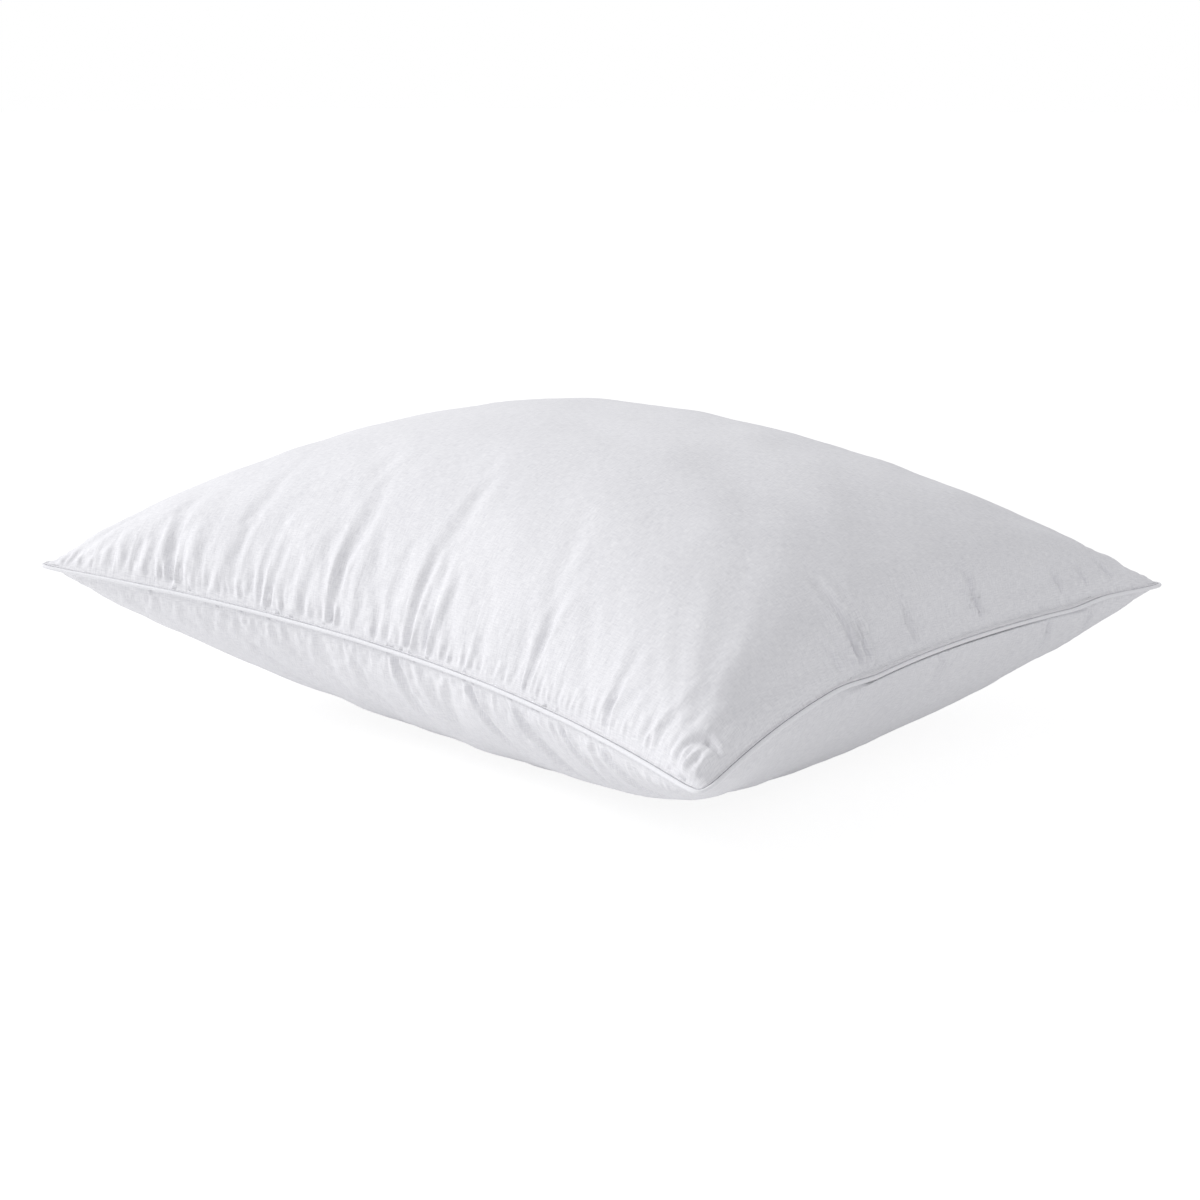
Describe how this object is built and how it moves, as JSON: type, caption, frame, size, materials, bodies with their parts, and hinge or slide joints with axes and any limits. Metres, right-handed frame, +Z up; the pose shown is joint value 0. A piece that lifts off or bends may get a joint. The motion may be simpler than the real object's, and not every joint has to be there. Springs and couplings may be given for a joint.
{
  "type": "bed pillow",
  "caption": "Rectangular bed pillow with a crowned top and underside, piped edge, rounded corners and a closing seam in one short side.",
  "frame": {"origin": "on the surface that the pillow lies on, under the centre of its bounding box", "axes": "+X along the long sides towards the side with the closing seam, +Y along the short sides, +Z up"},
  "size_m": [0.56, 0.5034, 0.2015],
  "materials": {
    "casing_cotton": "fine downproof cotton, plain weave, soft matt white",
    "piping_cotton": "cotton strip cut on the bias, folded round a cord, matt white",
    "cord_cotton": "twisted unbleached cotton cord",
    "sewing_thread": "spun polyester sewing thread, white, slight sheen",
    "feathers": "packed white feathers and down"
  },
  "bodies": {
    "root": {"top_panel": "casing_cotton", "bottom_panel": "casing_cotton", "piping_cover": "piping_cotton", "piping_cord": "cord_cotton", "seam_needle_thread": "sewing_thread", "seam_bobbin_thread": "sewing_thread", "closing_needle_thread": "sewing_thread", "closing_bobbin_thread": "sewing_thread", "feather_fill": "feathers"}
  },
  "joints": []
}
